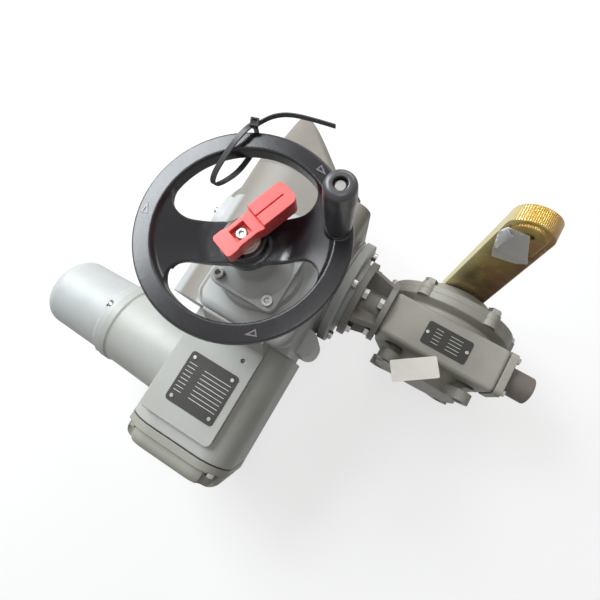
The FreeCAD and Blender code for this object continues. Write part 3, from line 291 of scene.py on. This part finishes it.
def zincFinish():
    # yellow chromate over zinc: gold and olive clouds, a hatched tip, and painted light, paler
    # towards -X as a painted highlight and browner towards +X as painted shade
    material, tree, shader = newMaterial("yellow_zinc")
    place = addNode(tree, "ShaderNodeTexCoord").outputs["Object"]
    where = partsOf(tree, place)
    drift = noiseAt(tree, place, zinc["drift"])
    tone = blendOf(tree, spread(tree, drift, *zinc["driftRange"]), zinc["gold"], zinc["olive"])
    other = addNode(tree, "ShaderNodeVectorMath", {0: place, 1: zinc["apart"]}, operation="ADD")
    rosy = noiseAt(tree, other.outputs[0], zinc["rosy"])
    tone = blendOf(tree, spread(tree, rosy, *zinc["rosyRange"]), tone, zinc["rose"])
    # painted shade, browner towards +X, then a painted highlight, paler towards -X
    tone = blendOf(tree, spread(tree, where["X"], *zinc["side"]), tone, zinc["shadeBrown"])
    tone = blendOf(tree, spread(tree, where["X"], *zinc["edge"]), tone, zinc["paleFleckAndHighlight"])
    fine = noiseAt(tree, place, zinc["fine"])
    tone = blendOf(tree, spread(tree, fine, *zinc["fineRange"]), tone, zinc["paleFleckAndHighlight"])
    bands = addNode(tree, "ShaderNodeTexWave", {"Vector": place, **zinc["hatch"]},
                    bands_direction="X")
    facing = partsOf(tree, addNode(tree, "ShaderNodeTexCoord").outputs["Normal"])
    tip = times(tree, spread(tree, where["Z"], *zinc["tip"]),
                spread(tree, facing["Z"], *zinc["topRange"]))
    hatched = times(tree, bands.outputs["Fac"], tip)
    tone = blendOf(tree, times(tree, hatched, zinc["hatchShare"]), tone, zinc["line"])
    tree.links.new(tone, shader.inputs["Base Color"])
    tree.links.new(spread(tree, drift, *zinc["roughRange"]), shader.inputs["Roughness"])
    shader.inputs["Metallic"].default_value = zinc["metal"]
    rounded = addNode(tree, "ShaderNodeBevel", {"Radius": zinc["round"]},
                      samples=surface["edgeSamples"])
    combed = bumpOf(tree, hatched, zinc["hatchBump"], zinc["hatchDeep"], rounded.outputs[0])
    dented = bumpOf(tree, noiseAt(tree, place, zinc["dents"]), zinc["dentBump"],
                    zinc["dentDeep"], combed)
    tree.links.new(dented, shader.inputs["Normal"])
    return material


materials = {name: newFinish(name, look) for name, look in finishes.items()}
materials["yellow_zinc"] = zincFinish()
print("finishes made:", len(materials))


def dress(part, finish):
    part.data.materials.clear()
    part.data.materials.append(finish)
    part.data.shade_smooth()
    part.modifiers.new("weld", "WELD").merge_threshold = joinGap
    part.modifiers.new("split", "EDGE_SPLIT").split_angle = softAngle
    part.modifiers.new("flatten", "WEIGHTED_NORMAL").keep_sharp = True


slots = {part["node"]: part["material_slot"] for part in frame["record"]["subparts"]}
# castings with a paint of their own: the box a slightly darker grey; the case, lid, motor and yoke
# darker and warmer with painted shade
ownPaint = {"gear_housing": "case_paint_and_shade", "control_housing": "box_paint",
            "control_lid": "lid_shade_paint", "motor_housing": "motor_paint_and_shade",
            "motor_flange": "motor_paint_and_shade", "adapter_yoke": "yoke_shade_paint"}
for name, part in frame["nodes"].items():
    dress(part, materials[ownPaint.get(name, slots[name])])
print("parts dressed:", len(frame["nodes"]))


# pieces that the frame does not carry


def clearSelection():
    bpy.ops.object.select_all(action="DESELECT")


def editAll():
    bpy.ops.object.mode_set(mode="EDIT")
    bpy.ops.mesh.select_all(action="SELECT")


def endEdit():
    bpy.ops.object.mode_set(mode="OBJECT")


def editPoints(piece, test):
    # edit mode, with the points selected that pass the test
    editAll()
    bpy.ops.mesh.select_all(action="DESELECT")
    endEdit()
    for point in piece.data.vertices:
        point.select = test(point.co)
    bpy.ops.object.mode_set(mode="EDIT")


def extrude(move):
    bpy.ops.mesh.extrude_region_move(TRANSFORM_OT_translate={"value": move})


def applyPlace(piece):
    bpy.context.view_layer.objects.active = piece
    piece.select_set(True)
    bpy.ops.object.transform_apply(location=True, rotation=True, scale=True)


def applyModifier(piece, kind, **settings):
    bpy.context.view_layer.objects.active = piece
    modifier = piece.modifiers.new(kind.lower(), kind)
    for name, value in settings.items():
        setattr(modifier, name, value)
    bpy.ops.object.modifier_apply(modifier=modifier.name)


def settle(piece, name, body, finish):
    applyPlace(piece)
    piece.name = name
    piece.data.name = name
    piece.data.materials.clear()
    piece.data.materials.append(materials[finish])
    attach(piece, body)
    piece.select_set(False)


def smoothFaces(piece):
    clearSelection()
    bpy.context.view_layer.objects.active = piece
    piece.select_set(True)
    bpy.ops.object.shade_smooth_by_angle(angle=softAngle)
    piece.select_set(False)


def twinOf(piece, name):
    twin = bpy.data.objects.new(name, piece.data.copy())
    bpy.context.collection.objects.link(twin)
    return twin


def placeCopy(piece, name, move, body, finish):
    twin = twinOf(piece, name)
    twin.data.transform(move)
    settle(twin, name, body, finish)


wheelLow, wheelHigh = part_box("handwheel")
wheel = {"x": (wheelLow.x + wheelHigh.x) / 2, "y": (wheelLow.y + wheelHigh.y) / 2,
         "padRise": 0.0015}
wheel["face"] = wheelHigh.z - wheel["padRise"]

# the solid's rim is deeper than the real one, so its lower part is pressed up towards the face
rim = {"inside": 0.0575, "floor": 0.009, "squeeze": 0.27}
rimFloor = Vector((wheel["x"], wheel["y"], wheel["face"] - rim["floor"]))
clearSelection()
casting = twinOf(frame["nodes"]["handwheel"], "handwheel_casting")
bpy.context.view_layer.objects.active = casting
casting.select_set(True)
editAll()
bpy.ops.mesh.remove_doubles(threshold=joinGap)
editPoints(casting, lambda at: (at.xy - rimFloor.xy).length > rim["inside"] and at.z < rimFloor.z)
bpy.ops.transform.resize(value=(1, 1, rim["squeeze"]), center_override=rimFloor)
endEdit()
casting.data.shade_smooth()
applyModifier(casting, "EDGE_SPLIT", split_angle=softAngle)
applyModifier(casting, "WEIGHTED_NORMAL", keep_sharp=True)
settle(casting, "handwheel_casting", "handwheel_group", "black_enamel")
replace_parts(casting, "handwheel")
print("handwheel rim shaped")

# raised outlines on the rim that point clockwise
arrow = {"long": 0.0084, "wide": 0.0056, "line": 0.0010, "rise": 0.0004, "circle": 0.0742,
         "lead": 3.2, "angles": (-168, -54.4, 65.9)}
clearSelection()
bpy.ops.mesh.primitive_circle_add(vertices=3, radius=1, fill_type="NGON")
pointer = bpy.context.object
pointer.scale = (arrow["wide"] / math.sqrt(3), arrow["long"] / 1.5, 1)
applyPlace(pointer)
editAll()
bpy.ops.mesh.inset(thickness=arrow["line"])
bpy.ops.mesh.delete(type="FACE")
bpy.ops.mesh.select_all(action="SELECT")
extrude((0, 0, arrow["rise"]))
bpy.ops.mesh.select_all(action="SELECT")
bpy.ops.mesh.normals_make_consistent(inside=False)
endEdit()
for number, angle in enumerate(arrow["angles"], 1):
    turn = math.radians(angle + arrow["lead"])
    spot = Vector((wheel["x"] + arrow["circle"] * math.cos(turn),
                   wheel["y"] + arrow["circle"] * math.sin(turn), wheel["face"]))
    move = Matrix.Translation(spot) @ Matrix.Rotation(turn + math.pi, 4, "Z")
    placeCopy(pointer, "rim_arrow_%d" % number, move, "handwheel_group", "arrow_enamel")
bpy.data.objects.remove(pointer)
print("rim arrows made")

# the tie's points are millimetres from the middle of the rim's face
tie = {"wide": 0.0046, "thick": 0.0012, "smooth": 3, "edge": 0.0003,
       "loop": ((-35.5, 76, 5), (-37, 70, 6.5), (-39.5, 60, 6), (-42.5, 48, 1), (-45.5, 34, -5),
                (-46, 27, -10), (-44.5, 25.5, -13), (-42.5, 28, -15), (-39.5, 34, -16),
                (-36.5, 42, -17), (-35, 50, -17.5), (-34.5, 62, -17.5), (-34.5, 71, -17),
                (-34.5, 75.4, -12), (-34.5, 75.8, -5), (-34.8, 76, 1)),
       "tail": ((-34, 78, 2.6), (-31, 83, 3), (-27, 89, 3.2), (-19, 95, 3.2), (-10, 98.2, 3),
                (-2, 100.2, 2.6), (8, 102.4, 2), (18.5, 104.4, 1.4))}


def wheelSpot(x, y, z):
    return Vector((wheel["x"] + x / 1000, wheel["y"] + y / 1000, wheel["face"] + z / 1000))


def strap(name, points, across):
    # an edge drawn along the points, smoothed and given its thickness
    spots = [wheelSpot(*point) for point in points]
    clearSelection()
    bpy.ops.mesh.primitive_plane_add(size=1)
    band = bpy.context.object
    editPoints(band, lambda at: at.y > 0)
    bpy.ops.mesh.delete(type="VERT")
    endEdit()
    first, last = band.data.vertices
    first.co = spots[0] - across * tie["wide"] / 2
    last.co = spots[0] + across * tie["wide"] / 2
    editAll()
    for start, end in zip(spots, spots[1:]):
        extrude(end - start)
    endEdit()
    applyModifier(band, "SUBSURF", levels=tie["smooth"], render_levels=tie["smooth"],
                  boundary_smooth="PRESERVE_CORNERS")
    applyModifier(band, "SOLIDIFY", thickness=tie["thick"], offset=0)
    applyModifier(band, "BEVEL", width=tie["edge"], segments=2, limit_method="ANGLE")
    settle(band, name, "handwheel_group", "tie_plastic")
    smoothFaces(band)
    return band


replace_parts(strap("tie_loop", tie["loop"], Vector((1, 0, 0))), "cable_tie")
strap("tie_tail", tie["tail"], Vector((0, 0, 1)))

head = {"size": 0.0066, "place": (-35.2, 76.6, 5), "turn": 24, "lean": 14, "slot": 0.0009,
        "deep": 0.0022, "bevel": 0.0005}
clearSelection()
bpy.ops.mesh.primitive_cube_add(size=head["size"])
block = bpy.context.object
editAll()
bpy.ops.mesh.bevel(offset=head["bevel"], segments=3)
editPoints(block, lambda at: at.z > head["size"] / 2 - joinGap)
bpy.ops.mesh.inset(thickness=head["slot"])
extrude((0, 0, -head["deep"]))
endEdit()
lean = math.radians(head["lean"])
block.rotation_euler = (lean, lean, math.radians(head["turn"]))
block.location = wheelSpot(*head["place"])
settle(block, "tie_head", "handwheel_group", "tie_plastic")
print("cable tie made")

label = {"long": 0.0497, "wide": 0.0231, "x": -0.01635, "y": 0.00255, "turn": 35.2,
         "thick": 0.00025, "corner": 0.0022, "above": 0.0002, "slices": 14, "bend": 14, "dip": 1.5}
clearSelection()
bpy.ops.mesh.primitive_plane_add(size=1)
slip = bpy.context.object
slip.scale = (label["long"], label["wide"], 1)
applyPlace(slip)
editAll()
bpy.ops.mesh.bevel(offset=label["corner"], segments=4, affect="VERTICES")
for step in range(1, label["slices"]):
    bpy.ops.mesh.select_all(action="SELECT")
    at = label["long"] * (step / label["slices"] - 0.5)
    bpy.ops.mesh.bisect(plane_co=(at, 0, 0), plane_no=(1, 0, 0))
endEdit()
applyModifier(slip, "SIMPLE_DEFORM", deform_method="BEND", deform_axis="Y",
              angle=math.radians(label["bend"]))
applyModifier(slip, "SOLIDIFY", thickness=label["thick"], offset=1)
slip.rotation_euler = (0, math.radians(-label["dip"]), math.radians(label["turn"]))
slip.location = (label["x"], label["y"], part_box("gearbox_plate")[0].z + label["above"])
settle(slip, "paper_label", "housing_group", "blank_paper")
print("paper label made")

# outline, fold and crease are given as x and z on the lever's face
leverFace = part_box("swing_lever")[0].y
sticker = {"outline": ((-0.0225, 0.2150), (-0.0050, 0.2172), (0.0142, 0.1703), (0.0070, 0.1610),
                       (-0.0132, 0.1535), (-0.0169, 0.1657), (-0.0250, 0.2010)),
           "fold": ((-0.0250, 0.2010), (-0.0225, 0.2150), (-0.0150, 0.2105), (-0.0158, 0.1853),
                    (-0.0169, 0.1657)),
           "creaseFrom": (-0.0169, 0.1657), "creaseTo": (-0.0237, 0.2150),
           "curl": 0.007, "gap": 0.0003, "lift": 0.0021, "thick": 0.00018, "clear": 0.00015,
           "cells": 26, "sheet": (0.05, 0.08, 1), "middle": (-0.005, 0, 0.186)}
boss = {"eye": 0.2149, "lean": 0.0262, "radius": 0.0145, "long": 0.025, "thick": 0.002,
        "slope": 0.006}


def bossDrop(x, z):
    # how far behind the boss's face the sticker lies, from its distance to the boss
    along = min(max(z, boss["eye"] - boss["long"]), boss["eye"])
    apart = math.hypot(x + along * boss["lean"], z - along) - boss["radius"]
    share = min(max(apart / boss["slope"], 0), 1)
    return boss["thick"] * share * share * (3 - 2 * share)


def patchOf(outline, name, finish, lift):
    # a fine sheet, cut along each side of the outline and laid over the lever and its boss
    clearSelection()
    bpy.ops.mesh.primitive_grid_add(x_subdivisions=sticker["cells"],
                                    y_subdivisions=sticker["cells"] * 2, size=1)
    patch = bpy.context.object
    patch.scale = sticker["sheet"]
    patch.rotation_euler = (math.pi / 2, 0, 0)
    patch.location = sticker["middle"]
    applyPlace(patch)
    editAll()
    for (x, z), (nextX, nextZ) in zip(outline, outline[1:] + outline[:1]):
        bpy.ops.mesh.select_all(action="SELECT")
        outward = Vector((z - nextZ, 0, nextX - x)).normalized()
        bpy.ops.mesh.bisect(plane_co=(x, 0, z), plane_no=outward, clear_outer=True)
    endEdit()
    for point in patch.data.vertices:
        drop = bossDrop(point.co.x, point.co.z)
        point.co.y = leverFace - sticker["clear"] + drop - lift(point.co)
    applyModifier(patch, "SOLIDIFY", thickness=sticker["thick"], offset=1)
    settle(patch, name, "lever_group", finish)
    patch.data.shade_smooth()


creaseStart = Vector(sticker["creaseFrom"])
crease = (Vector(sticker["creaseTo"]) - creaseStart).normalized()


def curlHeight(spot):
    # the torn corner is folded back over the sticker and rises away from its crease
    apart = (spot.x - creaseStart.x) * crease.y - (spot.z - creaseStart.y) * crease.x
    share = min(max(apart / sticker["curl"], 0), 1)
    return sticker["gap"] + sticker["lift"] * math.sin(share * math.pi / 2)


patchOf(sticker["outline"], "torn_sticker", "blank_foil", lambda at: 0)
patchOf(sticker["fold"], "sticker_fold", "foil_back", curlHeight)
print("sticker made")

# plain lines in the place of the print, in two columns given as shares of the plate's width
rules = {"thick": 0.0005, "rise": 0.00006, "inset": 0.04, "plates": {
    "nameplate": {"margin": 0.0118, "rows": 8, "shares": ((0.02, 0.26), (0.34, 0.98))},
    "gearbox_plate": {"margin": 0.0052, "rows": 5, "shares": ((0.16, 0.40), (0.48, 0.84))}}}
clearSelection()
bpy.ops.mesh.primitive_plane_add(size=1)
bar = bpy.context.object
editAll()
extrude((0, 0, rules["rise"]))
endEdit()
bar.select_set(False)
for plate, rule in rules["plates"].items():
    low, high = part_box(plate)
    pitch = (high.y - low.y - 2 * rule["margin"]) / (rule["rows"] - 1)
    for row in range(rule["rows"]):
        for column, (start, end) in enumerate(rule["shares"], 1):
            left = low.x + (high.x - low.x) * (start + rules["inset"])
            right = low.x + (high.x - low.x) * (end - rules["inset"])
            spot = Vector(((left + right) / 2, high.y - rule["margin"] - pitch * row, high.z))
            move = Matrix.Translation(spot) @ Matrix.Diagonal((right - left, rules["thick"], 1, 1))
            placeCopy(bar, "%s_rule_%d_%d" % (plate, row + 1, column), move, "housing_group",
                      "plate_mark")
bpy.data.objects.remove(bar)
print("plates ruled")

camera = {"place": (-0.07713, -0.06582, 0.53694), "right": (0.8572, 0.5095, -0.0749),
          "up": (-0.4837, 0.8466, 0.2220), "back": (0.1765, -0.1541, 0.9722), "lens": 25.16,
          "sensor": 36, "nearest": 0.01}
bpy.ops.object.camera_add()
eye = bpy.context.object
eye.name = "camera"
eye.data.sensor_width = camera["sensor"]
eye.data.lens = camera["lens"]
eye.data.clip_start = camera["nearest"]
turned = Matrix((camera["right"], camera["up"], camera["back"])).transposed().to_4x4()
eye.matrix_world = Matrix.Translation(camera["place"]) @ turned
bpy.context.scene.camera = eye


def seenShare(tree):
    # 1 for what the camera sees, directly, mirrored or through a clear piece
    rays = addNode(tree, "ShaderNodeLightPath").outputs
    direct = largerOf(tree, rays["Is Camera Ray"], rays["Is Glossy Ray"])
    return largerOf(tree, direct, rays["Is Transmission Ray"])


floorLook = {"size": 8, "drop": 0.0004, "seen": (0.8, 0.8, 0.8, 1), "bounce": (0.3, 0.3, 0.29, 1),
             "rough": 0.9, "shadow": 0.3}
floorAt = (0, 0, cadBox[0].z - floorLook["drop"])
bpy.ops.mesh.primitive_plane_add(size=floorLook["size"], location=floorAt)
floor = bpy.context.object
floor.name = "floor"
paper, tree, shader = newMaterial("floor_paper")
shader.inputs["Roughness"].default_value = floorLook["rough"]
direct = addNode(tree, "ShaderNodeLightPath").outputs["Is Camera Ray"]
tree.links.new(blendOf(tree, direct, floorLook["bounce"], floorLook["seen"]),
               shader.inputs["Base Color"])
glow = addNode(tree, "ShaderNodeEmission", {"Color": (1, 1, 1, 1), "Strength": 1})
share = times(tree, seenShare(tree), 1 - floorLook["shadow"])
mixed = addNode(tree, "ShaderNodeMixShader", {0: share, 1: shader.outputs[0], 2: glow.outputs[0]})
tree.links.new(mixed.outputs[0], tree.nodes["Material Output"].inputs[0])
floor.data.materials.append(paper)

sky = {"soft": (1, 0.955, 0.88, 1), "softPower": 0.13, "white": (1, 1, 1, 1), "whitePower": 1}
world = bpy.data.worlds.new("studio")
world.use_nodes = True
bpy.context.scene.world = world
tree = world.node_tree
soft = addNode(tree, "ShaderNodeBackground", {"Color": sky["soft"], "Strength": sky["softPower"]})
white = addNode(tree, "ShaderNodeBackground",
                {"Color": sky["white"], "Strength": sky["whitePower"]})
mixed = addNode(tree, "ShaderNodeMixShader",
                {0: seenShare(tree), 1: soft.outputs[0], 2: white.outputs[0]})
tree.links.new(mixed.outputs[0], tree.nodes["World Output"].inputs[0])

lamps = {
    "key": {"place": (-1.35, 0.45, 0.85), "size": (0.6, 0.8), "power": 15,
            "tone": (0.95, 0.98, 1)},
    "sheen": {"place": (-0.95, 0.22, 1.25), "size": (0.8, 0.35), "power": 19,
              "tone": (0.9, 0.96, 1)},
    "far": {"place": (-0.3, 1.35, 0.95), "size": (1.0, 0.7), "power": 11,
            "tone": (1, 0.985, 0.96)},
    "near": {"place": (-0.02, 0.02, 1.7), "size": (0.5, 0.5), "power": 5,
             "tone": (1, 0.985, 0.96)},
    "low": {"place": (0.2, -1.4, 0.5), "size": (1.2, 1.2), "power": 0.8,
            "tone": (1, 0.98, 0.93)},
}
lampAim = Vector((-0.1, 0, 0.08))
for name, lamp in lamps.items():
    bpy.ops.object.light_add(type="AREA", location=lamp["place"])
    light = bpy.context.object
    light.name = "lamp_" + name
    light.data.shape = "RECTANGLE"
    light.data.size, light.data.size_y = lamp["size"]
    light.data.energy = lamp["power"]
    light.data.color = lamp["tone"]
    light.rotation_euler = (lampAim - light.location).to_track_quat("-Z", "Y").to_euler()
bpy.context.scene.view_settings.view_transform = "Standard"
print("camera, floor and lamps set")
